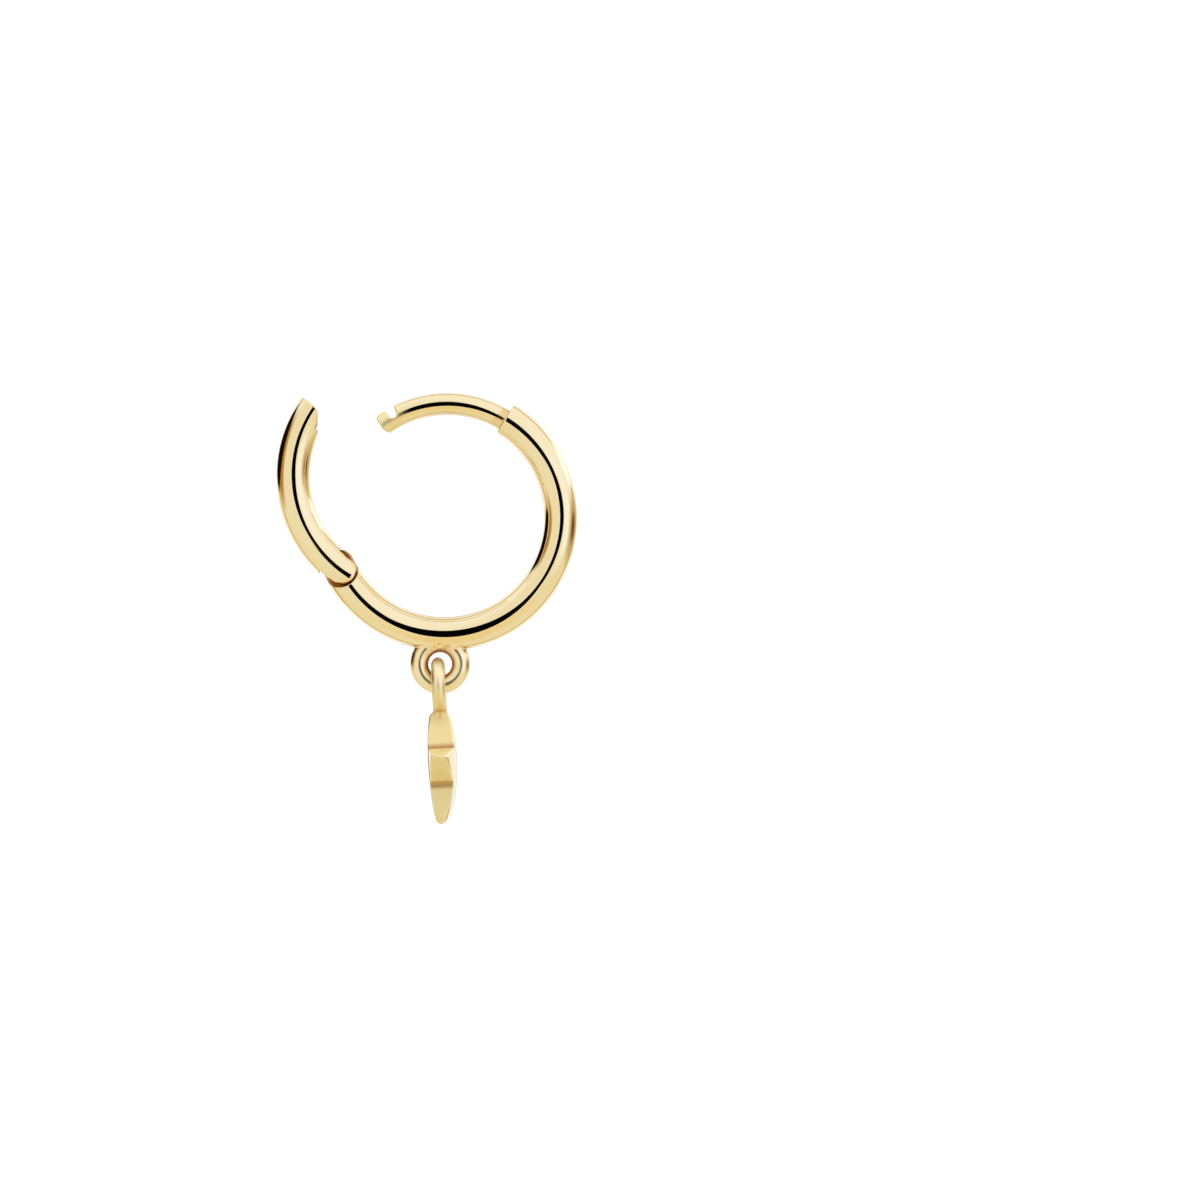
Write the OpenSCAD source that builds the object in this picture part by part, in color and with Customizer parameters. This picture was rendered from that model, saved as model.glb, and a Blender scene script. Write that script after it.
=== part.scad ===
// Hinged hoop earring with a puffed star charm, millimetres.
// The hoop stands in the XZ plane and the charm hangs below it, turned a little from the YZ plane.
// The origin is on the ear post's axis at the top of the hoop, where the ear lobe carries it.
// Angles are counted about the hoop's centre, from +X up towards +Z.

/* [Hoop] */
// Outer diameter of the closed hoop
hoop_d = 12; // [10:0.5:16]
// Diameter of the hoop's round tube
tube_d = 1.5; // [1.4:0.05:1.7]
// Angle of the tube's square end, where the ear post leaves it
tube_end = 58.4; // [50:0.2:66]
// Angle of the hinge
hinge_at = 206.4; // [200:0.2:214]

/* [Ear post] */
// Diameter of the ear post
post_d = 0.98; // [0.84:0.02:1]
// How much smaller the radius of the post's curve is than that of the tube's
post_inset = 0.32; // [0.26:0.02:0.38]
// Sideways shift of the centre of the post's curve from the hoop's centre
post_shift_x = 0.14; // [0.08:0.02:0.2]
// Upward shift of the centre of the post's curve from the hoop's centre
post_shift_z = 0.2; // [0.14:0.02:0.26]
// Distance from the post's full round part to the closed arm's end face
notch_lead = 0.2; // [0.16:0.02:0.4]
// Height of the post that is left under the catch notch
notch_floor = 0.49; // [0.42:0.01:0.54]
// Length of the catch head at the post's free end
head_l = 0.54; // [0.44:0.02:0.6]
// Corner radius of the catch head
head_round = 0.22; // [0.16:0.02:0.22]
// Radius of the catch head's heel, where the post's free end turns up
heel_r = 0.45; // [0.22:0.01:0.5]

/* [Hinged arm] */
// Angle of the arm's end face when the hoop is closed
arm_end = 116.8; // [112:0.4:120]
// Angle that the arm is swung open
open_angle = 27; // [15:1:30]
// Thickness of the catch lip behind the arm's end face
lip_t = 0.14; // [0.1:0.02:0.2]
// How far the catch lip reaches down past the top of the post
lip_drop = 0.13; // [0.06:0.01:0.14]
// Height of the arm's end face, from the outside of the tube
face_h = 0.85; // [0.7:0.05:1]
// Height of the arm at the soft corner of its scarf, from the outside of the tube
scarf_h = 1.05; // [1.02:0.01:1.15]
// Length of the end face's slope down to the soft corner
scarf_nose_l = 0.26; // [0.16:0.02:0.36]
// Length of the scarf from the end face to where it runs out on the tube's inside
scarf_l = 1.26; // [1.1:0.02:1.5]

/* [Hinge] */
// Diameter of the hinge pin
pin_d = 0.4; // [0.3:0.02:0.5]
// Cover of metal over each end of the hinge pin
pin_cover = 0.1; // [0.06:0.01:0.16]
// Thickness of the hoop's hinge tongue
tongue_t = 0.7; // [0.5:0.02:0.76]
// Radius of the tongue's round end
tongue_r = 0.9; // [0.86:0.01:1]
// Radius to the outside of the tongue's stop toe
toe_r = 1.15; // [1.06:0.01:1.2]
// Angular width of the stop toe
toe_span = 20; // [14:1:24]
// How much larger the radius of the arm's round knuckle is than the tube's
knuckle_extra = 0.02; // [0.02:0.01:0.08]

/* [Charm eyelet] */
// Wire diameter of the charm eyelet
eyelet_wire_d = 0.82; // [0.6:0.02:0.9]
// Diameter of the eyelet's hole
eyelet_hole_d = 1.06; // [1:0.02:1.3]
// Sideways place of the eyelet from the hoop's centre
eyelet_x = -0.2; // [-0.6:0.05:0.6]
// Height of the gap between the eyelet's hole and the tube
eyelet_drop = 0.08; // [0.04:0.01:0.2]

/* [Star charm] */
// Radius from the star's centre to its rounded tips
star_r = 2.75; // [2.2:0.05:3.6]
// Radius from the star's centre to its inner corners
star_waist_r = 1.44; // [1.1:0.02:1.6]
// Rounding radius of the star's tips
star_tip_round = 0.14; // [0.08:0.02:0.2]
// Thickness of the star where it is thickest
star_t = 1.28; // [1:0.02:1.5]
// Radius of the star's puffed front, on the +X side
star_front_r = 8; // [7:0.5:20]
// Radius of the star's flatter back
star_back_r = 15; // [10:0.5:30]
// Height of the star's thickest place above its centre
star_dome_up = 0.6; // [0:0.1:1]
// Width of the bail ring's wire, along the ring's axis
bail_w = 0.6; // [0.5:0.02:0.64]
// Depth of the bail ring's wire, from the ring's inside to its outside
bail_h = 0.78; // [0.7:0.02:0.8]
// Diameter of the solder neck between the bail ring and the star
neck_d = 0.5; // [0.4:0.02:0.56]
// How far the solder neck reaches down into the star's top point
neck_sink = 0.4; // [0.3:0.02:0.6]
// How far the star's top point sinks into the bail ring's wire
tip_sink = 0.04; // [0.02:0.01:0.1]
// Angle that the charm hangs turned about the vertical
charm_turn = -2; // [-5:0.5:5]
// Angle that the charm hangs tilted in the hoop's plane
charm_tilt = -2.75; // [-3:0.25:3]
// Sideways place of the charm from the middle of the eyelet
charm_shift = -0.05; // [-0.06:0.01:0.06]

/* [Clearances] */
// Gap between the closed catch's lip and the catch head
catch_gap = 0.05; // [0.04:0.01:0.08]
// Gap between the post and the sides and the roof of the arm's pocket
pocket_gap = 0.05; // [0.03:0.01:0.06]
// Gap between the end of the post and the end of the arm's pocket
pocket_end_gap = 0.15; // [0.1:0.01:0.25]
// Radial gap between the hinge's round faces
seat_gap = 0.03; // [0.02:0.01:0.05]
// Gap on each side of the hinge tongue
tongue_gap = 0.02; // [0.015:0.005:0.03]
// Radial gap between the pin and the tongue's bore
bore_gap = 0.02; // [0.015:0.005:0.03]
// Gap round the pin where it sits in the arm
pin_seat_gap = 0.01; // [0.01:0.005:0.02]
// Angle of play that is left before the stop toe touches
stop_play = 0.6; // [0.4:0.1:1.5]
// Gap between the eyelet's wire and the inside of the bail ring
bail_gap = 0.06; // [0.05:0.01:0.08]

/* [Hidden] */
$fn = 96;
gold = "#E3B565";
tube_r = tube_d / 2;
mid_r = hoop_d / 2 - tube_r;
outer_r = mid_r + tube_r;
inner_r = mid_r - tube_r;
post_r = post_d / 2;
post_shift = [post_shift_x, post_shift_z];
post_arc_r = mid_r - post_inset;
// Height of the hoop's centre, which brings the post's axis to the origin
hoop_z = -post_axis_r(90);
pivot = polar(mid_r, hinge_at);
knuckle_r = tube_r + knuckle_extra;
star_points = 5;
// Angular lengths of the catch along the tube
notch_from = arm_end - arc_deg(notch_lead);
lip_to = arm_end + arc_deg(lip_t);
head_from = lip_to + arc_deg(catch_gap);
head_mid = head_from + arc_deg(head_l / 2);
head_to = head_from + arc_deg(head_l);
pocket_to = head_to + arc_deg(pocket_end_gap);
// Radii of the catch about the hoop's centre
post_top_r = post_axis_r(head_mid) + post_r;
floor_r = post_top_r - post_d + notch_floor;
lip_r = post_top_r - lip_drop;
roof_r = post_top_r + pocket_gap;
// Reach of a cutting shape past the surface that it cuts
over = 0.4;
// The eyelet's centre and the middle of its lowest wire, which carries the bail
eyelet_mid_r = (eyelet_hole_d + eyelet_wire_d) / 2;
eyelet_z = hoop_z - outer_r - eyelet_drop - eyelet_hole_d / 2;
swing_z = eyelet_z - eyelet_mid_r;
bail_in_r = eyelet_wire_d / 2 + bail_gap;
bail_out_r = bail_in_r + bail_h;
// How far the star's centre hangs below the middle of the bail ring
star_drop = bail_out_r + star_r - tip_sink;

function polar(r, a) = [r * cos(a), r * sin(a)];
function arc_deg(len) = len / mid_r * 180 / PI;
// Distance of the post's axis from the hoop's centre, at an angle about that centre
function post_axis_r(a) =
    let (along = post_shift * polar(1, a))
    along + sqrt(pow(post_arc_r, 2) - post_shift * post_shift + pow(along, 2));

// Points round one tip of the star, an arc that meets the straight sides smoothly, and the
// inner corner after it
function star_tip(a, steps = 8) =
    let (
        centre_r = star_r - star_tip_round,
        side = polar(star_waist_r, 180 / star_points) - [centre_r, 0],
        open = atan2(side.y, side.x) - acos(star_tip_round / norm(side))
    )
    [
        for (i = [0:steps]) polar(centre_r, a) + polar(star_tip_round, a - open + open * 2 * i / steps),
        polar(star_waist_r, a + 180 / star_points)
    ];

// Places what is drawn flat about the hoop's centre upright in the hoop's plane
module in_hoop_plane() {
    translate([0, 0, hoop_z]) rotate([90, 0, 0]) children();
}

// A round tube bent on the hoop's circle from one angle to another
module tube_arc(from, to) {
    rotate([0, 0, from]) rotate_extrude(angle = to - from) translate([mid_r, 0]) circle(r = tube_r);
}

// A round disc about the hinge pivot, right through the tube
module pivot_disc(r) {
    translate([pivot.x, pivot.y, -tube_d]) cylinder(r = r, h = 2 * tube_d);
}

// A slice of the tube's middle, of the given thickness
module middle_slab(t) {
    translate([-outer_r - tube_d, -outer_r - tube_d, -t / 2])
        cube([2 * (outer_r + tube_d), 2 * (outer_r + tube_d), t]);
}

// A sector of a disc about the hinge pivot, in angles from the closed arm towards the outside
module pivot_sector(r, from, to, t) {
    translate([pivot.x, pivot.y, -t / 2]) rotate([0, 0, hinge_at - 90 + from])
        rotate_extrude(angle = to - from) square([r, t]);
}

// A block of the given width, bent about the hoop's centre between two radii and two angles
module bent_block(r_from, r_to, from, to, w) {
    rotate([0, 0, from]) rotate_extrude(angle = to - from)
        translate([r_from, -w / 2]) square([r_to - r_from, w]);
}

// The tongue that the arm turns on, with its round end and the toe that stops the arm
module hinge_tongue() {
    reach = arc_deg(knuckle_r + tube_d);
    intersection() {
        middle_slab(tongue_t);
        union() {
            tube_arc(hinge_at, hinge_at + reach);
            intersection() {
                tube_arc(hinge_at - reach, hinge_at + reach);
                pivot_disc(tongue_r);
            }
            pivot_sector(toe_r, 0, toe_span, tongue_t);
        }
    }
}

// The round wire of the ear post between two angles about the hoop's centre
module post_wire(from, to) {
    intersection() {
        translate(post_shift) rotate_extrude() translate([post_arc_r, 0]) circle(r = post_r);
        bent_block(inner_r - over, outer_r + over, from, to, tube_d);
    }
}

// The rounded side view of the catch head, upright about its own centre, with its heel
module head_outline() {
    long = head_l / 2;
    high = post_r + pocket_gap / 2;
    w = long - head_round;
    h = high - head_round;
    difference() {
        union() {
            square([2 * high, 2 * w], center = true);
            square([2 * h, 2 * long], center = true);
            for (x = [-h, h], y = [-w, w]) translate([x, y]) circle(r = head_round);
        }
        translate([-high, long - heel_r]) difference() {
            square(heel_r);
            translate([heel_r, 0]) circle(r = heel_r);
        }
    }
}

// The ear post with its catch notch and its rounded catch head
module ear_post() {
    post_wire(tube_end - arc_deg(tube_r), notch_from);
    intersection() {
        post_wire(notch_from - 0.01, head_mid);
        bent_block(inner_r - over, floor_r, notch_from - 0.01, head_mid, tube_d);
    }
    intersection() {
        post_wire(head_from, head_to);
        rotate([0, 0, head_mid]) translate([post_top_r - post_r, 0, -tube_r])
            linear_extrude(tube_d) head_outline();
    }
}

// The wire ring under the hoop that the charm hangs from
module charm_eyelet() {
    translate([eyelet_x, eyelet_z - hoop_z])
        rotate_extrude() translate([eyelet_mid_r, 0]) circle(d = eyelet_wire_d);
}

// The fixed part of the hoop: tube, hinge tongue, ear post and eyelet, soldered into one
module hoop() {
    color(gold) in_hoop_plane() difference() {
        union() {
            difference() {
                tube_arc(hinge_at, 360 + tube_end);
                pivot_disc(knuckle_r + seat_gap);
            }
            hinge_tongue();
            ear_post();
            charm_eyelet();
        }
        pivot_disc(pin_d / 2 + bore_gap);
    }
}

// What the arm leaves free for the tongue and for the travel of its toe
module tongue_room() {
    t = tongue_t + 2 * tongue_gap;
    intersection() {
        middle_slab(t);
        union() {
            pivot_disc(tongue_r + seat_gap);
            pivot_sector(toe_r + seat_gap, -open_angle - stop_play, toe_span + stop_play, t);
        }
    }
}

// The pocket for the post's catch head, open to the inside and past the lip to the end
module catch_pocket() {
    w = post_d + 2 * pocket_gap;
    bent_block(inner_r - over, roof_r, lip_to, pocket_to, w);
    bent_block(inner_r - over, lip_r, arm_end - arc_deg(over), lip_to + 0.01, w);
}

// The slanted cut that takes away the inside of the arm's end
module scarf_cut() {
    end_a = arm_end - arc_deg(over);
    translate([0, 0, -tube_d]) linear_extrude(2 * tube_d) polygon([
        polar(inner_r - over, end_a),
        polar(outer_r - face_h, end_a),
        polar(outer_r - face_h, arm_end),
        polar(outer_r - scarf_h, arm_end + arc_deg(scarf_nose_l)),
        polar(inner_r, arm_end + arc_deg(scarf_l)),
        polar(inner_r - over, arm_end + arc_deg(scarf_l))
    ]);
}

// The arm in its closed place, flat about the hoop's centre
module closed_arm() {
    difference() {
        union() {
            tube_arc(arm_end, hinge_at);
            intersection() {
                tube_arc(hinge_at - 1, hinge_at + arc_deg(knuckle_r + tube_r));
                pivot_disc(knuckle_r);
            }
        }
        tongue_room();
        catch_pocket();
        scarf_cut();
        translate([pivot.x, pivot.y, pin_cover - tube_r])
            cylinder(d = pin_d + 2 * pin_seat_gap, h = tube_d - 2 * pin_cover);
    }
}

// Turns what is drawn in the closed place out to the arm's open rest place
module swung_open() {
    translate(pivot) rotate([0, 0, open_angle]) translate(-pivot) children();
}

// The arm that closes the hoop under the ear lobe, drawn open
module hinged_arm() {
    color(gold) in_hoop_plane() swung_open() closed_arm();
}

// The pin that the arm turns on, hidden under the polished surface
module hinge_pin() {
    color(gold) in_hoop_plane() translate([pivot.x, pivot.y, pin_cover + pin_seat_gap - tube_r])
        cylinder(d = pin_d, h = tube_d - 2 * (pin_cover + pin_seat_gap));
}

// The puffed star, drawn in the YZ plane below the middle of the bail ring
module star_body() {
    outline = [for (k = [0:star_points - 1]) each star_tip(90 + k * 360 / star_points)];
    translate([0, 0, -star_drop]) intersection() {
        rotate([90, 0, 90]) linear_extrude(star_t + over, center = true) polygon(outline);
        translate([star_t / 2 - star_front_r, 0, star_dome_up]) sphere(r = star_front_r, $fn = 240);
        translate([star_back_r - star_t / 2, 0, star_dome_up]) sphere(r = star_back_r, $fn = 240);
    }
}

// The bail ring about its own middle, of flattened wire with round edges
module bail_ring() {
    round_r = bail_w / 2;
    rotate([0, 90, 0]) rotate_extrude() {
        translate([bail_in_r + round_r, 0]) circle(r = round_r);
        translate([bail_out_r - round_r, 0]) circle(r = round_r);
        translate([bail_in_r + round_r, -round_r]) square([bail_h - bail_w, bail_w]);
    }
}

// The star with its bail ring and the solder neck between them, one piece, hung from the
// eyelet's lowest wire
module star_charm() {
    color(gold) translate([eyelet_x + charm_shift, 0, swing_z]) rotate([0, charm_tilt, charm_turn]) {
        star_body();
        bail_ring();
        translate([0, 0, star_r - star_drop - neck_sink])
            cylinder(d = neck_d, h = neck_sink + bail_h / 2 - tip_sink);
    }
}

hoop();
hinged_arm();
hinge_pin();
star_charm();
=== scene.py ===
"""A polished gold hinged hoop earring with a puffed star charm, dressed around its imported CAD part.

The hoop, its arm and the charm are cast from distance fields in Geometry Nodes: a field says how
far each point lies outside the metal, and the mesh is laid where it is zero. Sizes in the trees
are in millimetres, and the finished pieces are scaled to metres.
"""
import math

import bpy
import numpy as np
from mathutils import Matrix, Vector

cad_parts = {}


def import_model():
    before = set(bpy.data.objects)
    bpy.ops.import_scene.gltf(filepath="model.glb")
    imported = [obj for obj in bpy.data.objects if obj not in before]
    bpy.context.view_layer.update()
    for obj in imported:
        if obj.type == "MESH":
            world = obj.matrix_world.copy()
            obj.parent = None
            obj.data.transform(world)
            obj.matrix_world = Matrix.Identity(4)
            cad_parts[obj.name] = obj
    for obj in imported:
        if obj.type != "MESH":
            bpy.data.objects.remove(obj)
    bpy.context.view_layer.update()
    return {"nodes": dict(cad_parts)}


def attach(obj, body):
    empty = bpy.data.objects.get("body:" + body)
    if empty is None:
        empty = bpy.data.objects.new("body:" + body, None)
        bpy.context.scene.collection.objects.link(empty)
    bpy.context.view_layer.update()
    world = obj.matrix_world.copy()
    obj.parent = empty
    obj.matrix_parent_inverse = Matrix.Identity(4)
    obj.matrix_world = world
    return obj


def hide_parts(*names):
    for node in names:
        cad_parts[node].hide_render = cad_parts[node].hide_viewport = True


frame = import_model()

MM = 0.001
MATH = "ShaderNodeMath"
VECTOR = "ShaderNodeVectorMath"

# Sizes as in the part's source, in millimetres and degrees
MID_R = 5.25
TUBE_R = 0.75
POST_R = 0.49
POST_SHIFT = (0.14, 0.2)
POST_ARC_R = 4.93
TUBE_END = 58.4
HINGE_AT = 206.4
NOTCH_LEAD = 0.2
NOTCH_FLOOR = 0.49
HEAD_L = 0.54
CATCH_GAP = 0.05
ARM_END = 116.8
OPEN_ANGLE = 27
LIP_T = 0.14
LIP_DROP = 0.13
POCKET_GAP = 0.05
POCKET_END_GAP = 0.15
FACE_H = 0.85
SCARF_H = 1.05
SCARF_NOSE_L = 0.26
SCARF_L = 1.26
KNUCKLE_R = 0.77
SEAT_GAP = 0.03
TONGUE_R = 0.9
TOE_R = 1.15
TOE_FROM = HINGE_AT - 90
TOE_SPAN = 20
STOP_PLAY = 0.6
EYELET_X = -0.2
EYELET_DROP = 0.08
EYELET_HOLE_R = 0.53
EYELET_MID_R = 0.94
EYELET_WIRE_R = 0.41
BAIL_IN_R = 0.47
BAIL_OUT_R = 1.25
BAIL_H = 0.78
NECK_SINK = 0.4
STAR_R = 2.75
STAR_POINTS = 5
WAIST_R = 1.44
TIP_ROUND = 0.14
TIP_SINK = 0.04
CHARM_TURN = -2
CHARM_TILT = -2.75
CHARM_SHIFT = -0.05
CENTRE = (0, 0, 0)


def post_axis_r(angle):
    """Distance of the ear post's axis from the hoop's centre, at an angle about that centre."""
    along = POST_SHIFT[0] * math.cos(angle) + POST_SHIFT[1] * math.sin(angle)
    return along + math.sqrt(POST_ARC_R**2 - POST_SHIFT[0] ** 2 - POST_SHIFT[1] ** 2 + along**2)


def arc(length):
    """The angle in degrees that a length along the hoop's tube takes."""
    return math.degrees(length / MID_R)


def polar(radius, degrees):
    """A point in the hoop's plane, counted about the hoop's centre."""
    a = math.radians(degrees)
    return (radius * math.cos(a), 0, radius * math.sin(a))


HOOP_Z = -post_axis_r(math.pi / 2)
PIVOT = polar(MID_R, HINGE_AT)
NOTCH_FROM = ARM_END - arc(NOTCH_LEAD)
LIP_TO = ARM_END + arc(LIP_T)
HEAD_FROM = LIP_TO + arc(CATCH_GAP)
HEAD_MID = HEAD_FROM + arc(HEAD_L / 2)
HEAD_TO = HEAD_FROM + arc(HEAD_L)
POCKET_TO = HEAD_TO + arc(POCKET_END_GAP)
POST_TOP_R = post_axis_r(math.radians(HEAD_MID)) + POST_R
EYELET_Z = HOOP_Z - MID_R - TUBE_R - EYELET_DROP - EYELET_HOLE_R
SWING_Z = EYELET_Z - EYELET_MID_R
STAR_DROP = BAIL_OUT_R + STAR_R - TIP_SINK


def add(tree, kind, *values, **settings):
    """Adds a node with its settings and its links or values, in the order of its open inputs."""
    made = tree.nodes.new(kind)
    for name, value in settings.items():
        setattr(made, name, value)
    for socket, value in zip([s for s in made.inputs if s.enabled], values):
        if isinstance(value, bpy.types.NodeSocket):
            tree.links.new(value, socket)
        elif value is not None:
            socket.default_value = value
    return next((s for s in made.outputs if s.enabled), None)


# Shaping: each function returns a distance, negative inside the metal

SHARP = 0.0


def joined(tree, soft, *shapes):
    """The shapes soldered together, with a fillet of about 0.6 of soft."""
    whole = shapes[0]
    for shape in shapes[1:]:
        whole = add(tree, MATH, whole, shape, soft, operation="SMOOTH_MIN")
    return whole


def common(tree, soft, *shapes):
    """What lies in all of the shapes, with its edges polished round by about 0.6 of soft."""
    whole = shapes[0]
    for shape in shapes[1:]:
        whole = add(tree, MATH, whole, shape, soft, operation="SMOOTH_MAX")
    return whole


def cut_from(tree, soft, metal, *cuts):
    """The metal without the cuts, with its new edges polished round by about 0.6 of soft."""
    for cut in cuts:
        space = add(tree, MATH, cut, -1.0, operation="MULTIPLY")
        metal = common(tree, soft, metal, space)
    return metal


def reach(tree, point, centre=CENTRE):
    """Distance from an axis along Y through the centre."""
    arm = add(tree, VECTOR, point, centre, operation="SUBTRACT")
    flat = add(tree, VECTOR, arm, (1, 0, 1), operation="MULTIPLY")
    return add(tree, VECTOR, flat, operation="LENGTH")


def disc(tree, point, centre, radius):
    """Round bar stock along Y about the centre."""
    return add(tree, MATH, reach(tree, point, centre), radius, operation="SUBTRACT")


def plate(tree, point, half):
    """A flat plate of a given half thickness in the hoop's own plane."""
    y = add(tree, VECTOR, point, (0, 1, 0), operation="DOT_PRODUCT")
    return add(tree, MATH, add(tree, MATH, y, operation="ABSOLUTE"), half, operation="SUBTRACT")


def wire_ring(tree, point, centre, ring_r, wire_r):
    """Round wire bent to a ring in the hoop's plane."""
    off = disc(tree, point, centre, ring_r)
    side = add(tree, "ShaderNodeCombineXYZ", off, plate(tree, point, 0.0), 0.0)
    side = add(tree, VECTOR, side, operation="LENGTH")
    return add(tree, MATH, side, wire_r, operation="SUBTRACT")


def round_corner(tree, one, other, rounding):
    """What lies behind two square sides, with a round corner where they meet."""
    one = add(tree, MATH, one, rounding, operation="ADD")
    other = add(tree, MATH, other, rounding, operation="ADD")
    sides = add(tree, "ShaderNodeCombineXYZ", one, other, 0.0)
    beyond = add(tree, VECTOR, sides, (0, 0, 0), operation="MAXIMUM")
    beyond = add(tree, VECTOR, beyond, operation="LENGTH")
    return add(tree, MATH, beyond, rounding, operation="SUBTRACT")


# How each finish and each painted shade fades over the metal: the length in millimetres where
# it is full, the length where none of it is left, and how much of it there is where it is full
SPREADS = {
    "round seam": (0.02, 0.09, 1.0),
    "seam past the hinge": (0.0, 0.1, 1.0),
    "shaded tongue": (0.02, 0.06, 0.9),
    "under the knuckle": (0.0, 0.05, 1.0),
    "tumbled eyelet": (0.02, 0.15, 0.5),
    "filed catch head": (0.0, 1.2, 0.6),
    "hole of the eyelet": (0.5, 0.78, 1.0),
    "tumbled bail": (0.02, 0.15, 1.0),
    "filed narrow sides": (-0.09, -0.02, 1.0),
    "waist shade": (0.05, 0.24, 0.6),
    "rim of the star": (0.02, 0.08, 1.0),
    "crevice_shade": (0.06, 0.54, 1.0),
}


def fades(tree, length, finish):
    """How much of a finish, or of a painted shade, there is at a length, smoothly from full to none.
    """
    full_at, gone_at, full = SPREADS[finish]
    return add(
        tree, "ShaderNodeMapRange", length, full_at, gone_at, full, 0.0,
        interpolation_type="SMOOTHSTEP",
    )


def recess_shade(tree, point, pivot, knuckle_r, past_hinge):
    """Painted shade along the round join between the hoop and the arm's knuckle."""
    off = add(tree, MATH, disc(tree, point, pivot, knuckle_r), operation="ABSOLUTE")
    near = fades(tree, off, "round seam")
    beyond = fades(tree, past_hinge, "seam past the hinge")
    return add(tree, MATH, near, beyond, operation="MULTIPLY")


def past(tree, point, centre, angle, turned=1.0):
    """The half of the plane past a ray from the centre, or before it where turned is -1."""
    arm = add(tree, VECTOR, point, centre, operation="SUBTRACT")
    across = add(
        tree, "ShaderNodeVectorRotate", (0, 0, -turned), (0, 0, 0), angle,
        rotation_type="Y_AXIS", invert=True,
    )
    return add(tree, VECTOR, arm, across, operation="DOT_PRODUCT")


def before(tree, point, centre, angle):
    """The half of the plane that lies before a ray from the centre."""
    return past(tree, point, centre, angle, -1.0)


def new_tree(name, sizes, first, *lasts):
    """A Geometry Nodes tree with a first input, one for each named size, and its outputs."""
    tree = bpy.data.node_groups.new(name, "GeometryNodeTree")
    tree.interface.new_socket(first[0], in_out="INPUT", socket_type=first[1])
    for size, value in sizes.items():
        kind = "NodeSocketFloat" if isinstance(value, (int, float)) else "NodeSocketVector"
        tree.interface.new_socket(size, in_out="INPUT", socket_type=kind).default_value = value
    for last in lasts:
        tree.interface.new_socket(last[0], in_out="OUTPUT", socket_type=last[1])
    given = tree.nodes.new("NodeGroupInput")
    return tree, {s.name: s for s in given.outputs if s.name}


# What a field says of a point besides its distance: its finish, and the painted shade in recesses
MARKS = ("satin", "filed", "recess_shade")


def field_tree(name, sizes, shape_it):
    """A node group that gives a point's distance to the shape, and its marks."""
    tree, given = new_tree(
        name, sizes, ("Point", "NodeSocketVector"),
        *((output, "NodeSocketFloat") for output in ("Distance", *MARKS)),
    )
    add(tree, "NodeGroupOutput", *shape_it(tree, given))
    return tree


# How far the catch head's block stands proud of the post's wire, which then trims it
HEAD_PROUD = 0.025

HOOP_SIZES = {
    "Hoop centre": (0, 0, HOOP_Z),
    "Ring radius": MID_R,
    "Tube radius": TUBE_R,
    "Tube end": math.radians(TUBE_END),
    "Hinge angle": math.radians(HINGE_AT),
    "Pivot": PIVOT,
    "Knuckle seat radius": KNUCKLE_R + SEAT_GAP,
    "Tongue half thickness": 0.35,
    "Tongue radius": TONGUE_R,
    "Tongue root radius": 1.6,
    "Toe radius": TOE_R,
    "Toe from": math.radians(TOE_FROM),
    "Toe to": math.radians(TOE_FROM + TOE_SPAN),
    "Tongue softness": 0.3,
    "Pin bore radius": 0.22,
    "Post centre": (POST_SHIFT[0], 0, POST_SHIFT[1]),
    "Post ring radius": POST_ARC_R,
    "Post radius": POST_R,
    "Post root": math.radians(TUBE_END - arc(TUBE_R)),
    "Notch from": math.radians(NOTCH_FROM),
    "Notch floor radius": POST_TOP_R - 2 * POST_R + NOTCH_FLOOR,
    "Head middle": math.radians(HEAD_MID),
    "Head centre": polar(POST_TOP_R - POST_R, HEAD_MID),
    "Head half height": POST_R + HEAD_PROUD,
    "Head half length": HEAD_L / 2,
    "Head rounding": 0.22,
    "Heel radius": 0.47,
    "Notch fillet": 0.36,
    "Post edge": 0.08,
    "Knuckle radius": KNUCKLE_R,
    "Eyelet centre": (EYELET_X, 0, EYELET_Z - HOOP_Z),
    "Eyelet ring radius": EYELET_MID_R,
    "Eyelet wire radius": EYELET_WIRE_R,
    "Edge": 0.05,
    "Root fillet": 0.04,
    "Solder": 0.16,
}


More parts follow.
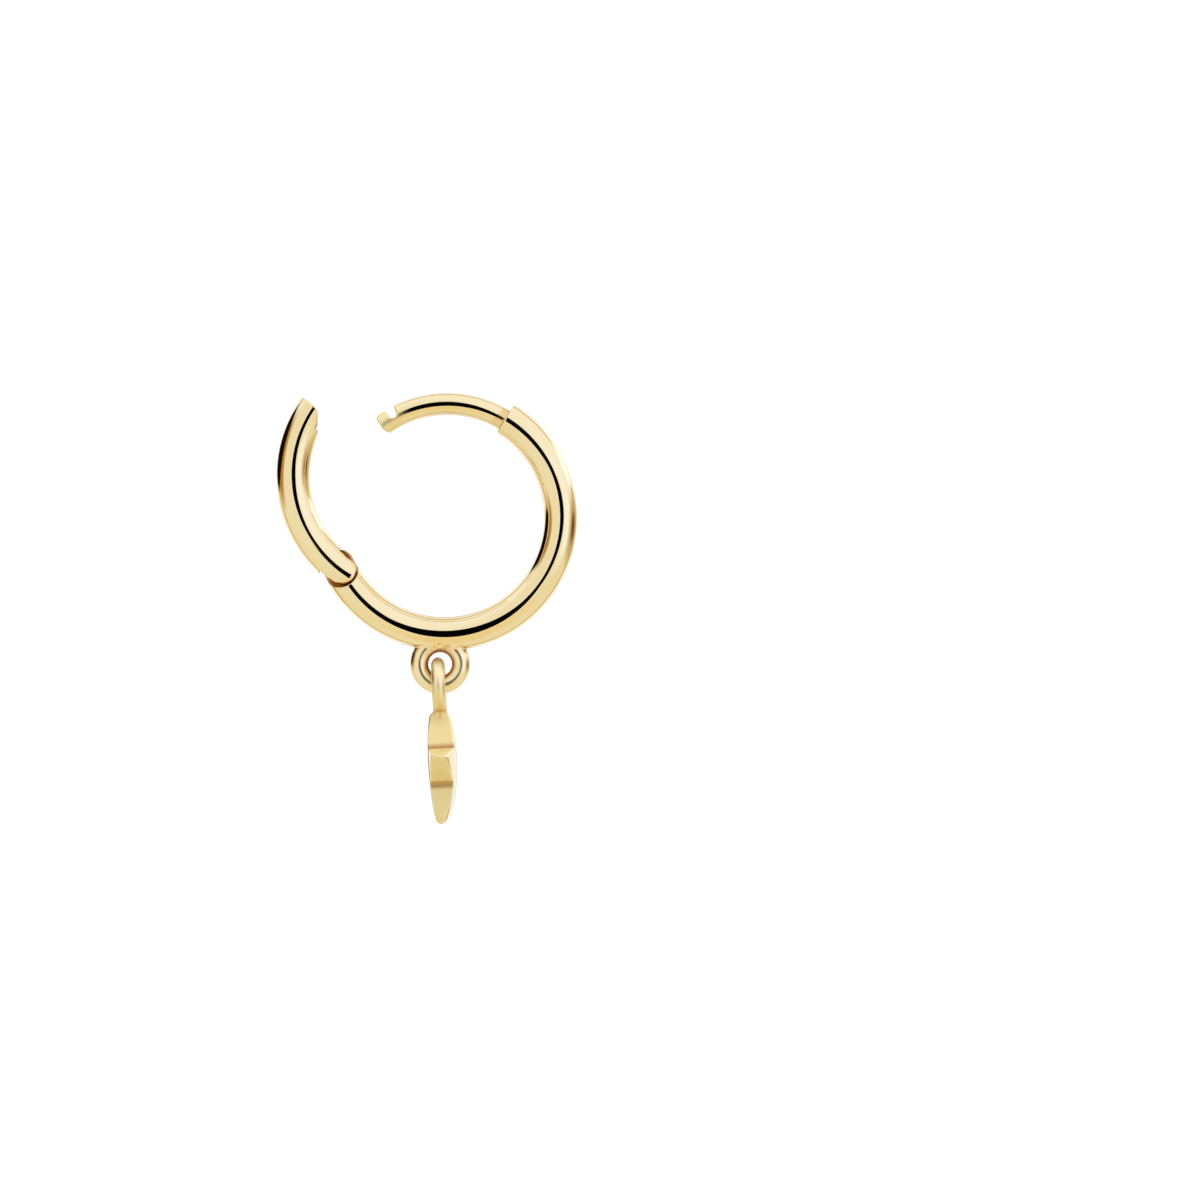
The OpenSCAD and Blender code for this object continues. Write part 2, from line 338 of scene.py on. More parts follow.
def hoop_shape(tree, given):
    """Tube, hinge tongue, ear post with its catch head, and the eyelet."""
    g = given
    p = add(tree, VECTOR, g["Point"], g["Hoop centre"], operation="SUBTRACT")
    tube = wire_ring(tree, p, CENTRE, g["Ring radius"], g["Tube radius"])
    past_hinge = past(tree, p, CENTRE, g["Hinge angle"])
    # The tube runs from the hinge round the bottom to its square end
    span = joined(tree, SHARP, before(tree, p, CENTRE, g["Tube end"]), past_hinge)
    body = common(tree, g["Edge"], tube, span)
    body = cut_from(tree, g["Edge"], body, disc(tree, p, g["Pivot"], g["Knuckle seat radius"]))
    # The flat tongue that the arm turns on, with the toe that stops the arm
    root = common(tree, SHARP, past_hinge, disc(tree, p, g["Pivot"], g["Tongue root radius"]))
    nose = joined(tree, SHARP, root, disc(tree, p, g["Pivot"], g["Tongue radius"]))
    nose = common(tree, g["Tongue softness"], tube, nose)
    toe = common(
        tree, SHARP,
        past(tree, p, g["Pivot"], g["Toe from"]),
        before(tree, p, g["Pivot"], g["Toe to"]),
        disc(tree, p, g["Pivot"], g["Toe radius"]),
    )
    blade = joined(tree, g["Edge"], nose, toe)
    tongue = common(tree, g["Edge"], blade, plate(tree, p, g["Tongue half thickness"]))
    # The side view of the ear post: full wire, the half that the notch leaves, and the catch head
    wire = wire_ring(tree, p, g["Post centre"], g["Post ring radius"], g["Post radius"])
    from_root = past(tree, p, CENTRE, g["Post root"])
    full = common(tree, SHARP, from_root, before(tree, p, CENTRE, g["Notch from"]))
    half = common(
        tree, SHARP, from_root, before(tree, p, CENTRE, g["Head middle"]),
        disc(tree, p, CENTRE, g["Notch floor radius"]),
    )
    outwards = add(tree, VECTOR, g["Head centre"], operation="NORMALIZE")
    arm = add(tree, VECTOR, p, g["Head centre"], operation="SUBTRACT")
    up = add(tree, VECTOR, arm, outwards, operation="DOT_PRODUCT")
    back = past(tree, p, CENTRE, g["Head middle"])
    # A block with round corners, and a rounder one at its heel, below on the post's side
    block_sides, heel_sides = [], []
    for off, size in ((up, g["Head half height"]), (back, g["Head half length"])):
        both_ways = add(tree, MATH, off, operation="ABSOLUTE")
        other_way = add(tree, MATH, off, -1.0, operation="MULTIPLY")
        block_sides.append(add(tree, MATH, both_ways, size, operation="SUBTRACT"))
        heel_sides.append(add(tree, MATH, other_way, size, operation="SUBTRACT"))
    head = common(
        tree, SHARP,
        round_corner(tree, *block_sides, g["Head rounding"]),
        round_corner(tree, *heel_sides, g["Heel radius"]),
    )
    post = common(tree, g["Post edge"], wire, joined(tree, g["Notch fillet"], full, half, head))
    eyelet = wire_ring(
        tree, p, g["Eyelet centre"], g["Eyelet ring radius"], g["Eyelet wire radius"]
    )
    metal = joined(tree, g["Root fillet"], body, tongue, post)
    metal = joined(tree, g["Solder"], metal, eyelet)
    metal = cut_from(tree, SHARP, metal, disc(tree, p, g["Pivot"], g["Pin bore radius"]))
    # Painted shade on the tongue where the knuckle hides it; the eyelet is tumbled and the head filed
    seat = disc(tree, p, g["Pivot"], g["Knuckle seat radius"])
    hidden = add(
        tree, MATH, fades(tree, tongue, "shaded tongue"), fades(tree, seat, "under the knuckle"),
        operation="MULTIPLY",
    )
    satin = fades(tree, eyelet, "tumbled eyelet")
    filed = add(tree, MATH, head, wire, operation="MAXIMUM")
    filed = fades(tree, filed, "filed catch head")
    # Painted shade along the round join at the knuckle and inside the eyelet's hole
    hole = fades(tree, reach(tree, p, g["Eyelet centre"]), "hole of the eyelet")
    shaded = recess_shade(tree, p, g["Pivot"], g["Knuckle radius"], past_hinge)
    shaded = add(tree, MATH, shaded, hidden, operation="MAXIMUM")
    return metal, satin, filed, add(tree, MATH, shaded, hole, operation="MAXIMUM")


ARM_SIZES = {
    "Hoop centre": (0, 0, HOOP_Z),
    "Ring radius": MID_R,
    "Tube radius": TUBE_R,
    "Pivot": PIVOT,
    "Opened by": math.radians(OPEN_ANGLE),
    "Arm end": math.radians(ARM_END),
    "Hinge angle": math.radians(HINGE_AT),
    "Knuckle radius": KNUCKLE_R,
    "Knuckle softness": 0.34,
    "End softness": 0.14,
    "Slot half width": 0.37,
    "Slot radius": TONGUE_R + SEAT_GAP,
    "Toe room radius": TOE_R + SEAT_GAP,
    "Toe room from": math.radians(TOE_FROM - OPEN_ANGLE - STOP_PLAY),
    "Toe room to": math.radians(TOE_FROM + TOE_SPAN + STOP_PLAY),
    "Pin seat radius": 0.21,
    "Pin seat half length": 0.65,
    "Pocket half width": POST_R + POCKET_GAP,
    "Pocket roof radius": POST_TOP_R + POCKET_GAP,
    "Lip radius": POST_TOP_R - LIP_DROP,
    "Lip to": math.radians(LIP_TO),
    "Pocket to": math.radians(POCKET_TO),
    "Scarf face": polar(MID_R + TUBE_R - FACE_H, ARM_END),
    "Scarf corner": polar(MID_R + TUBE_R - SCARF_H, ARM_END + arc(SCARF_NOSE_L)),
    "Scarf run-out": polar(MID_R - TUBE_R, ARM_END + arc(SCARF_L)),
    "Scarf to": math.radians(ARM_END + arc(SCARF_L)),
    "Edge": 0.05,
}


def under_line(tree, point, start, end):
    """The side of a straight cut that faces the hoop's centre, seen along the arm."""
    run = add(tree, VECTOR, end, start, operation="SUBTRACT")
    across = add(tree, VECTOR, (0, 1, 0), run, operation="CROSS_PRODUCT")
    arm = add(tree, VECTOR, point, start, operation="SUBTRACT")
    unit = add(tree, VECTOR, across, operation="NORMALIZE")
    return add(tree, VECTOR, arm, unit, operation="DOT_PRODUCT")


def arm_shape(tree, given):
    """The arm is shaped in its closed place, so the point is turned back there first."""
    g = given
    p = add(tree, VECTOR, g["Point"], g["Hoop centre"], operation="SUBTRACT")
    p = add(tree, "ShaderNodeVectorRotate", p, g["Pivot"], g["Opened by"], rotation_type="Y_AXIS")
    tube = wire_ring(tree, p, CENTRE, g["Ring radius"], g["Tube radius"])
    before_hinge = before(tree, p, CENTRE, g["Hinge angle"])
    length = joined(tree, SHARP, before_hinge, disc(tree, p, g["Pivot"], g["Knuckle radius"]))
    metal = common(tree, g["Knuckle softness"], tube, length)
    metal = common(tree, g["End softness"], metal, past(tree, p, CENTRE, g["Arm end"]))
    # Room for the tongue and for the travel of its toe
    sweep = common(
        tree, SHARP,
        past(tree, p, g["Pivot"], g["Toe room from"]),
        before(tree, p, g["Pivot"], g["Toe room to"]),
        disc(tree, p, g["Pivot"], g["Toe room radius"]),
    )
    room = joined(tree, SHARP, disc(tree, p, g["Pivot"], g["Slot radius"]), sweep)
    room = common(tree, SHARP, room, plate(tree, p, g["Slot half width"]))
    # The pocket for the catch head, and its mouth under the lip
    up_to = before(tree, p, CENTRE, g["Pocket to"])
    pocket = common(
        tree, SHARP,
        disc(tree, p, CENTRE, g["Pocket roof radius"]), past(tree, p, CENTRE, g["Lip to"]), up_to,
    )
    mouth = common(tree, SHARP, disc(tree, p, CENTRE, g["Lip radius"]), up_to)
    hollow = joined(tree, SHARP, pocket, mouth)
    hollow = common(tree, SHARP, hollow, plate(tree, p, g["Pocket half width"]))
    scarf = joined(
        tree, SHARP,
        under_line(tree, p, g["Scarf face"], g["Scarf corner"]),
        under_line(tree, p, g["Scarf corner"], g["Scarf run-out"]),
    )
    scarf = common(tree, SHARP, scarf, before(tree, p, CENTRE, g["Scarf to"]))
    metal = cut_from(tree, g["Edge"], metal, room, hollow, scarf)
    bore = common(
        tree, SHARP,
        disc(tree, p, g["Pivot"], g["Pin seat radius"]),
        plate(tree, p, g["Pin seat half length"]),
    )
    metal = cut_from(tree, SHARP, metal, bore)
    # Painted shade along the round join at the knuckle
    past_hinge = past(tree, p, CENTRE, g["Hinge angle"])
    return metal, 0.0, 0.0, recess_shade(tree, p, g["Pivot"], g["Knuckle radius"], past_hinge)


HALF_SECTOR = math.pi / STAR_POINTS
# From the middle of the tip's round to the waist beside it
TO_WAIST = Vector((
    WAIST_R * math.cos(HALF_SECTOR) - (STAR_R - TIP_ROUND),
    WAIST_R * math.sin(HALF_SECTOR),
))
# Where on the tip's round the straight flank leaves it
FLANK_AT = math.atan2(TO_WAIST.y, TO_WAIST.x) - math.acos(TIP_ROUND / TO_WAIST.length)

STAR_SIZES = {
    "Hung from": (EYELET_X + CHARM_SHIFT, 0, SWING_Z),
    "Hang": (0, math.radians(CHARM_TILT), math.radians(CHARM_TURN)),
    "Star centre": (0, 0, -STAR_DROP),
    "Half sector": HALF_SECTOR,
    "Tip centre": (STAR_R - TIP_ROUND, 0, 0),
    "Tip rounding": TIP_ROUND,
    "Flank outwards": (math.cos(FLANK_AT), math.sin(FLANK_AT), 0),
    "Flank along": (-math.sin(FLANK_AT), math.cos(FLANK_AT), 0),
    "Half thickness": 0.64,
    "Front dome radius": 9.5,
    "Back dome radius": 18.0,
    "Dome up": 0.6,
    "Bail inside radius": BAIL_IN_R,
    "Bail outside radius": BAIL_OUT_R,
    "Bail half width": 0.3,
    "Neck radius": 0.25,
    "Neck foot": STAR_R - STAR_DROP - NECK_SINK,
    "Neck top": BAIL_H / 2 - BAIL_OUT_R,
    "Edge": 0.08,
    "Worn from": 1.9,
    "Tip radius": STAR_R,
    "Worn tip": 0.55,
    "Corner": 0.14,
    "Solder": 0.26,
}


def star_flank(tree, given, radius, angle):
    """A star point that lies along X: one straight flank that runs smoothly into the round tip."""
    flat = add(
        tree, "ShaderNodeCombineXYZ",
        add(tree, MATH, radius, add(tree, MATH, angle, operation="COSINE"), operation="MULTIPLY"),
        add(tree, MATH, radius, add(tree, MATH, angle, operation="SINE"), operation="MULTIPLY"),
        0.0,
    )
    arm = add(tree, VECTOR, flat, given["Tip centre"], operation="SUBTRACT")
    off = add(tree, VECTOR, arm, given["Flank outwards"], operation="DOT_PRODUCT")
    along = add(tree, VECTOR, arm, given["Flank along"], operation="DOT_PRODUCT")
    at_tip = add(tree, MATH, along, 0.0, operation="LESS_THAN")
    to_tip = add(tree, VECTOR, arm, operation="LENGTH")
    nearest = add(tree, "ShaderNodeMix", at_tip, off, to_tip, data_type="FLOAT")
    return add(tree, MATH, nearest, given["Tip rounding"], operation="SUBTRACT")


def dome(tree, point, given, radius, side):
    """The puffed face on one side of the star, part of a large ball."""
    sink = add(tree, MATH, given["Half thickness"], radius, operation="SUBTRACT")
    sink = add(tree, MATH, sink, side, operation="MULTIPLY")
    centre = add(tree, "ShaderNodeCombineXYZ", sink, 0.0, given["Dome up"])
    arm = add(tree, VECTOR, point, centre, operation="SUBTRACT")
    return add(tree, MATH, add(tree, VECTOR, arm, operation="LENGTH"), radius, operation="SUBTRACT")


def charm_shape(tree, given):
    """The puffed star, the bail ring over it and the solder neck between them."""
    g = given
    # The charm is shaped hanging straight, so the point is turned back there first
    q = add(
        tree, "ShaderNodeVectorRotate",
        add(tree, VECTOR, g["Point"], g["Hung from"], operation="SUBTRACT"),
        CENTRE, g["Hang"], rotation_type="EULER_XYZ", invert=True,
    )
    p = add(tree, VECTOR, q, g["Star centre"], operation="SUBTRACT")
    place = add(tree, "ShaderNodeSeparateXYZ", p).node
    angle = add(tree, MATH, place.outputs["Y"], place.outputs["Z"], operation="ARCTAN2")
    fold = add(tree, MATH, angle, g["Half sector"], operation="PINGPONG")
    sector = add(tree, MATH, g["Half sector"], 2.0, operation="MULTIPLY")
    beside = add(tree, MATH, sector, fold, operation="SUBTRACT")
    flat = add(tree, VECTOR, p, (0, 1, 1), operation="MULTIPLY")
    radius = add(tree, VECTOR, flat, operation="LENGTH")
    flanks = star_flank(tree, g, radius, fold), star_flank(tree, g, radius, beside)
    outline = joined(tree, g["Corner"], *flanks)
    faces = common(
        tree, SHARP,
        dome(tree, p, g, g["Front dome radius"], 1.0),
        dome(tree, p, g, g["Back dome radius"], -1.0),
    )
    # The wheel wears the points' tips rounder than the other edges
    edge = add(
        tree, "ShaderNodeMapRange",
        radius, g["Worn from"], g["Tip radius"], g["Edge"], g["Worn tip"],
    )
    star = common(tree, edge, outline, faces)
    # The bail's wire is flat on the sides and round on its edges
    flat = add(tree, VECTOR, q, (0, 1, 1), operation="MULTIPLY")
    radius = add(tree, VECTOR, flat, operation="LENGTH")
    half = g["Bail half width"]
    core = add(
        tree, "ShaderNodeClamp", radius,
        add(tree, MATH, g["Bail inside radius"], half, operation="ADD"),
        add(tree, MATH, g["Bail outside radius"], half, operation="SUBTRACT"),
    )
    across = add(
        tree, "ShaderNodeCombineXYZ",
        add(tree, MATH, radius, core, operation="SUBTRACT"),
        add(tree, VECTOR, q, (1, 0, 0), operation="DOT_PRODUCT"), 0.0,
    )
    across = add(tree, VECTOR, across, operation="LENGTH")
    bail = add(tree, MATH, across, half, operation="SUBTRACT")
    # The neck stands upright between the star's top point and the bail
    flat = add(tree, VECTOR, p, (1, 1, 0), operation="MULTIPLY")
    flat = add(tree, VECTOR, flat, operation="LENGTH")
    height = add(tree, VECTOR, q, (0, 0, 1), operation="DOT_PRODUCT")
    neck = common(
        tree, SHARP,
        add(tree, MATH, flat, g["Neck radius"], operation="SUBTRACT"),
        add(tree, MATH, g["Neck foot"], height, operation="SUBTRACT"),
        add(tree, MATH, height, g["Neck top"], operation="SUBTRACT"),
    )
    # The star's narrow sides are filed and the bail is tumbled, the domes are wheel polished
    satin = fades(tree, bail, "tumbled bail")
    filed = fades(tree, faces, "filed narrow sides")
    # Painted shade in the waists between the points, near the star's rim
    waist = add(tree, MATH, *flanks, operation="SUBTRACT")
    waist = fades(tree, add(tree, MATH, waist, operation="ABSOLUTE"), "waist shade")
    rim = fades(tree, add(tree, MATH, outline, operation="ABSOLUTE"), "rim of the star")
    waist = add(tree, MATH, waist, rim, operation="MULTIPLY")
    return joined(tree, g["Solder"], star, neck, bail), satin, filed, waist


# Four directions that lie evenly about a point, and how far out along them the distance is felt
# for its slope there
CORNERS = ((1, -1, -1), (-1, -1, 1), (-1, 1, -1), (1, 1, 1))
FEEL = 0.008
NORMAL_NAME = "surface_normal"
# How often the voxels' mesh is drawn onto the surface
PULLS = 3
# How far out along the surface the field is felt for free space, for the painted shade in crevices
CREVICE_SHADE_REACH = 0.6


def distance_at(tree, field, given, point):
    """The distance field at a point, with the piece's own sizes."""
    sizes = [size for name, size in given.items() if name != "Geometry"]
    return add(tree, "GeometryNodeGroup", point, *sizes, node_tree=field)


def slope_at(tree, field, given):
    """The outward direction of the surface at the mesh's points, and the distance to it."""
    here = add(tree, "GeometryNodeInputPosition")
    lean, mean = None, None
    for corner in CORNERS:
        point = add(tree, VECTOR, here, tuple(FEEL * c for c in corner), operation="ADD")
        distance = distance_at(tree, field, given, point)
        part = add(tree, VECTOR, corner, distance, operation="SCALE")
        lean = part if lean is None else add(tree, VECTOR, lean, part, operation="ADD")
        share = add(tree, MATH, distance, 1 / len(CORNERS), operation="MULTIPLY")
        mean = share if mean is None else add(tree, MATH, mean, share, operation="ADD")
    return add(tree, VECTOR, lean, operation="NORMALIZE"), mean


def cast(name, sizes, shape_it, low, high, grain, finish):
    """The piece's mesh, cast in a block between two corners with voxels of the given grain."""
    field = field_tree(name + " distance", sizes, shape_it)
    cells = [round((b - a) / grain) for a, b in zip(low, high)]
    tree, given = new_tree(
        name, sizes, ("Geometry", "NodeSocketGeometry"), ("Geometry", "NodeSocketGeometry")
    )
    here = add(tree, "GeometryNodeInputPosition")
    density = add(tree, MATH, distance_at(tree, field, given, here), -1.0, operation="MULTIPLY")
    block = add(tree, "GeometryNodeVolumeCube", density, -1.0, low, high, *cells)
    mesh = add(tree, "GeometryNodeVolumeToMesh", block, 0.0)
    # Voxels only come near the surface, so each point is drawn onto it along the slope
    for _ in range(PULLS):
        lean, mean = slope_at(tree, field, given)
        back = add(tree, MATH, mean, -1.0, operation="MULTIPLY")
        pull = add(tree, VECTOR, lean, back, operation="SCALE")
        mesh = add(tree, "GeometryNodeSetPosition", mesh, None, None, pull)
    lean, _ = slope_at(tree, field, given)
    mesh = add(
        tree, "GeometryNodeStoreNamedAttribute", mesh, None, NORMAL_NAME, lean,
        data_type="FLOAT_VECTOR", domain="POINT",
    )
    # Painted shade: points with metal close in front of them, in crevices and solder joints, are
    # marked to be coloured darker
    ahead = add(tree, VECTOR, lean, CREVICE_SHADE_REACH, operation="SCALE")
    ahead = add(tree, VECTOR, here, ahead, operation="ADD")
    free = distance_at(tree, field, given, ahead)
    marks = {"crevice_shade": fades(tree, free, "crevice_shade")}
    outputs = distance_at(tree, field, given, here).node.outputs
    marks.update({mark: outputs[mark] for mark in MARKS})
    for mark, amount in marks.items():
        mesh = add(
            tree, "GeometryNodeStoreNamedAttribute", mesh, None, mark, amount,
            data_type="FLOAT", domain="POINT",
        )
    mesh = add(tree, "GeometryNodeSetShadeSmooth", mesh)
    mesh = add(tree, "GeometryNodeTransform", mesh, None, None, (MM, MM, MM))
    mesh = add(tree, "GeometryNodeRealizeInstances", mesh)
    mesh = add(tree, "GeometryNodeSetMaterial", mesh, None, finish)
    result = tree.nodes.new("NodeGroupOutput")
    tree.links.new(mesh, result.inputs[0])

    blank = bpy.data.objects.new(name, bpy.data.meshes.new(name))
    bpy.context.scene.collection.objects.link(blank)
    modifier = blank.modifiers.new(name, "NODES")
    modifier.node_group = tree
    for item in tree.interface.items_tree:
        if item.name in sizes:
            modifier[item.identifier] = sizes[item.name]
    evaluated = blank.evaluated_get(bpy.context.evaluated_depsgraph_get())
    made = bpy.data.meshes.new_from_object(evaluated)
    blank.modifiers.remove(modifier)
    blank.data = made
    made.name = name
    stored = made.attributes[NORMAL_NAME]
    normals = np.zeros(len(made.vertices) * 3, np.float32)
    stored.data.foreach_get("vector", normals)
    made.attributes.remove(stored)
    made.normals_split_custom_set_from_vertices(normals.reshape(-1, 3))
    return blank


# Where the wheel reaches less, and where shade is painted in: the tone of the metal there, and its
# roughness
FINISHES_AND_SHADES = {
    "satin": ("#FFF3D0", 0.4),
    "filed": ("#FFF0BC", 0.6),
    # Painted shade in crevices and solder joints: darker amber, and rougher
    "crevice_shade": ("#DDAE57", 0.3),
    # Painted shade along the knuckle's join, under the knuckle, in the eyelet's hole and the star's
    # waists: dark amber, and rougher
    "recess_shade": ("#B3701C", 0.35),
}


def linear(hex_colour, strength=1.0):
    """An sRGB hex colour as linear values, brightened by a strength."""
    parts = [int(hex_colour[i:i + 2], 16) / 255 for i in (1, 3, 5)]
    parts = [p / 12.92 if p <= 0.04045 else ((p + 0.055) / 1.055) ** 2.4 for p in parts]
    return [p * strength for p in parts] + [1.0]


# The two tones that the alloy's colour drifts between
GOLD_TONES = ("#F9EDCD", "#F5E5BC")
# The patterns on the metal: how many of their patches lie along a millimetre, and their detail
DRIFT_PER_MM, DRIFT_DETAIL = 0.4, 2.0
HAZE_PER_MM, HAZE_DETAIL = 2.0, 3.0
WAVES_PER_MM, WAVE_DETAIL = 0.9, 1.0
# The part of the haze's range that shows, and the roughness at its two ends
HAZE_SHOWS = (0.35, 0.7)
MIRROR_ROUGHNESS = (0.02, 0.055)
# Height of the waves in millimetres, and how much of it the light shows
WAVE_DEPTH = 0.01
WAVE_SHOWS = 0.1


def polished_gold():
    """14 carat yellow gold, cast, filed and tumbled, then polished on a felt wheel.

    The wheel gives the eye a pale warm mirror. Where it reaches less, the satin of the tumbling
    barrel is left on the small rings and the file's finish on the star's narrow sides and the
    catch head. Shade is painted in as a darker, duller amber deep in crevices and solder joints,
    along the knuckle's round join, under the knuckle, in the eyelet's hole and in the star's waists.
    """
    made = bpy.data.materials.new("polished_14_carat_gold")
    made.use_nodes = True
    tree = made.node_tree
    shader = tree.nodes["Principled BSDF"]
    shader.inputs["Metallic"].default_value = 1.0
    place = add(tree, "ShaderNodeTexCoord").node.outputs["Object"]
    # The alloy's colour drifts very little, over 2.5 mm
    drift = add(tree, "ShaderNodeTexNoise", place, DRIFT_PER_MM / MM, DRIFT_DETAIL)
    colour = add(tree, "ShaderNodeMix", drift, *map(linear, GOLD_TONES), data_type="RGBA")
    # The wheel leaves faint hazy patches, half a millimetre wide
    haze = add(tree, "ShaderNodeTexNoise", place, HAZE_PER_MM / MM, HAZE_DETAIL)
    rough = add(tree, "ShaderNodeMapRange", haze, *HAZE_SHOWS, *MIRROR_ROUGHNESS)
    for mark, (tone, dulls) in FINISHES_AND_SHADES.items():
        amount = add(tree, "ShaderNodeAttribute", attribute_name=mark).node.outputs["Fac"]
        colour = add(tree, "ShaderNodeMix", amount, colour, linear(tone), data_type="RGBA")
        rough = add(tree, "ShaderNodeMix", amount, rough, dulls, data_type="FLOAT")
    tree.links.new(colour, shader.inputs["Base Color"])
    tree.links.new(rough, shader.inputs["Roughness"])
    # Its pull leaves very slight waves, 1.1 mm wide and about a micron deep
    wave = add(tree, "ShaderNodeTexNoise", place, WAVES_PER_MM / MM, WAVE_DETAIL)
    bump = add(tree, "ShaderNodeBump", WAVE_SHOWS, WAVE_DEPTH * MM, None, wave)
    tree.links.new(bump, shader.inputs["Normal"])
    return made


# The block that each piece is cast in, from corner to corner with some air round the metal, and
# the width of its voxels, in millimetres
HOOP_BLOCK = (-6.0, -0.95, EYELET_Z - 1.5), (6.2, 0.95, 0.7)
ARM_BLOCK = (-7.8, -0.95, HOOP_Z - 3.6), (-3.7, 0.95, HOOP_Z + 5.6)
CHARM_BLOCK = (EYELET_X - 1.2, -2.9, SWING_Z - 6.6), (EYELET_X + 1.4, 2.9, SWING_Z + 1.4)
HOOP_GRAIN = 0.045
FINE_GRAIN = 0.035

gold = polished_gold()
hoop = cast("hoop_metal", HOOP_SIZES, hoop_shape, *HOOP_BLOCK, HOOP_GRAIN, gold)
arm = cast("arm_metal", ARM_SIZES, arm_shape, *ARM_BLOCK, FINE_GRAIN, gold)
charm = cast("charm_metal", STAR_SIZES, charm_shape, *CHARM_BLOCK, FINE_GRAIN, gold)

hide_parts("hoop")
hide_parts("hinged_arm")
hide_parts("star_charm")
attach(hoop, "hoop")
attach(arm, "arm")
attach(charm, "charm")
pin = frame["nodes"]["hinge_pin"]
pin.data.materials.clear()
pin.data.materials.append(gold)

# What the polished metal sees all round. For each card: middle azimuth and elevation, half width
# and half height in degrees, how square its corners are, how soft its border, its colour and
# strength. Azimuth 0 is -Y, where the lens is, and 90 is +X.
CARDS = {
    "amber border of the cloth behind": (180, 0, 73, 70, 2.0, 0.12, "#D4A653", 1.0),
    "white cloth behind": (180, 0, 61, 58, 2.0, 0.1, "#FFFCF2", 1.0),
    "warm card under the lens": (0, -45, 40, 30, 2.0, 0.6, "#F4E0AE", 1.0),
    "dimmer cloth on the left": (-40, 8, 42, 46, 2.0, 0.8, "#F6F0DC", 0.99),
    "amber cloth on the left": (-88, 9, 24, 20, 2.0, 0.5, "#B98A3E", 1.0),
    "bright card on the right": (45, 5, 20, 20, 2.0, 0.5, "#F6F8FF", 1.12),
    "bright card behind on the right": (118, 23, 30, 8, 2.0, 0.5, "#FFFFFF", 1.4),
    "tan card on the right": (102, -3, 38, 15, 2.0, 0.5, "#CBB68E", 1.0),
    "brown strip on the right": (97, -2.5, 16, 7, 2.0, 0.7, "#75542A", 1.0),
    "dark flag on the left": (-114, 13, 30, 17, 2.0, 0.2, "#140A03", 1.0),
    "dark gap over the lens": (-1.5, 10.5, 7, 11.5, 2.5, 0.08, "#000000", 1.0),
    "dark gap under the lens": (-0.5, -11.5, 10.3, 11.6, 2.0, 0.08, "#000000", 1.0),
    "dark stand beside the lens": (8, 3.8, 12.5, 7.5, 1.6, 0.08, "#000000", 1.0),
    "dark gap behind": (181.0, 0.5, 6.0, 21, 3.5, 0.1, "#2A1607", 1.0),
}
# The tent's own two tones, and the sine of the elevation from which each of them is pure
TENT_ABOVE = ("#FFFEFA", 1.01)
TENT_BELOW = ("#F2EBCE", 1.0)
TENT_SEAM = 0.35
ROOM_LIGHT = ("#FFFFFF", 1.1)

scene = bpy.context.scene
scene.view_settings.view_transform = "Standard"


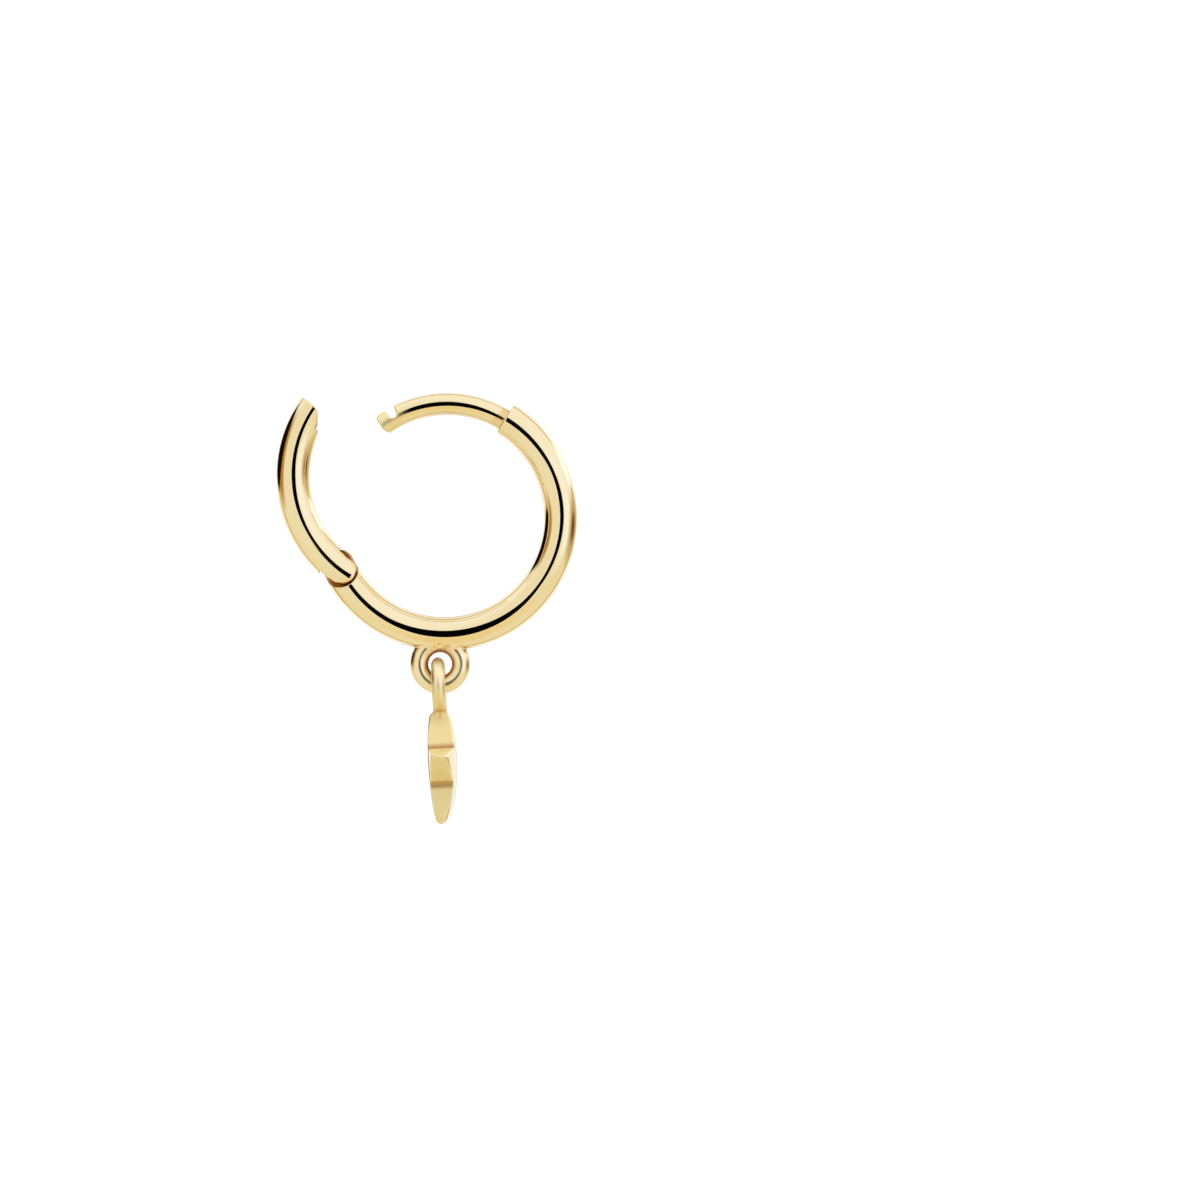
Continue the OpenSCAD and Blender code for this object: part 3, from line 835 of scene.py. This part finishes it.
def white_tent():
    """Soft white light from all round. Metal sees the tent, warmer below, with its cards."""
    made = bpy.data.worlds.new("white_tent")
    made.use_nodes = True
    tree = made.node_tree
    towards = add(tree, "ShaderNodeTexCoord").node.outputs["Generated"]
    way = add(tree, "ShaderNodeSeparateXYZ", towards).node.outputs
    forwards = add(tree, MATH, way["Y"], -1.0, operation="MULTIPLY")
    azimuth = add(tree, MATH, way["X"], forwards, operation="ARCTAN2")
    elevation = add(tree, MATH, way["Z"], operation="ARCSINE")
    height = add(
        tree, "ShaderNodeMapRange", way["Z"], -TENT_SEAM, TENT_SEAM, 0.0, 1.0,
        interpolation_type="SMOOTHSTEP",
    )
    seen = add(
        tree, "ShaderNodeMix", height, linear(*TENT_BELOW), linear(*TENT_ABOVE), data_type="RGBA"
    )
    for middle, level, half_width, half_height, corners, soft, colour, strength in CARDS.values():
        turn = add(tree, MATH, azimuth, math.radians(middle), operation="SUBTRACT")
        turn = add(tree, MATH, turn, math.pi, -math.pi, operation="WRAP")
        lift = add(tree, MATH, elevation, math.radians(level), operation="SUBTRACT")
        edge = 0.0
        for off, half in ((turn, half_width), (lift, half_height)):
            share = add(tree, MATH, off, math.radians(half), operation="DIVIDE")
            share = add(tree, MATH, share, operation="ABSOLUTE")
            share = add(tree, MATH, share, corners, operation="POWER")
            edge = add(tree, MATH, edge, share, operation="ADD")
        card = add(tree, "ShaderNodeMapRange", edge, 1 + soft, 1 - soft, 0.0, 1.0)
        card_colour = linear(colour, strength)
        seen = add(tree, "ShaderNodeMix", card, seen, card_colour, data_type="RGBA")
    mirrored = add(tree, "ShaderNodeLightPath").node.outputs["Is Glossy Ray"]
    shown = add(tree, "ShaderNodeMix", mirrored, linear(*ROOM_LIGHT), seen, data_type="RGBA")
    tree.links.new(shown, tree.nodes["Background"].inputs["Color"])
    return made


# In metres
FLOOR_WIDTH = 4.0
FLOOR_Z = -0.04


def pale_floor():
    """A plain pale floor well under the hanging earring. The metal mirrors the tent instead."""
    mesh = bpy.data.meshes.new("pale_floor")
    half = FLOOR_WIDTH / 2
    corners = [(-half, -half), (half, -half), (half, half), (-half, half)]
    mesh.from_pydata([(x, y, FLOOR_Z) for x, y in corners], [], [(0, 1, 2, 3)])
    floor = bpy.data.objects.new("pale_floor", mesh)
    scene.collection.objects.link(floor)
    paper = bpy.data.materials.new("matt_white_paper")
    paper.use_nodes = True
    shader = paper.node_tree.nodes["Principled BSDF"]
    shader.inputs["Base Color"].default_value = linear("#FBFBFA")
    shader.inputs["Roughness"].default_value = 0.9
    mesh.materials.append(paper)
    floor.visible_glossy = False


scene.world = white_tent()
pale_floor()

# A long lens that looks almost square at the hoop, which hangs left of the middle and above it
AZIMUTH = math.radians(-2.7)
TO_RIGHT = Vector((math.cos(AZIMUTH), math.sin(AZIMUTH), 0))
BACK = Vector((math.sin(AZIMUTH), -math.cos(AZIMUTH), 0))
LENS = 100
# The picture's width at the hoop, and its middle from the hoop's centre, in millimetres
SHOWN_WIDTH = 54.18
MIDDLE_BELOW = 3.72
MIDDLE_RIGHT = 7.02
camera_data = bpy.data.cameras.new("camera")
camera_data.lens = LENS
camera = bpy.data.objects.new("camera", camera_data)
scene.collection.objects.link(camera)
target = (Vector((0, 0, HOOP_Z - MIDDLE_BELOW)) + TO_RIGHT * MIDDLE_RIGHT) * MM
camera.location = target + BACK * (SHOWN_WIDTH / camera_data.sensor_width * LENS * MM)
camera.rotation_euler = (math.pi / 2, 0, AZIMUTH)
camera_data.clip_start = MM
scene.camera = camera
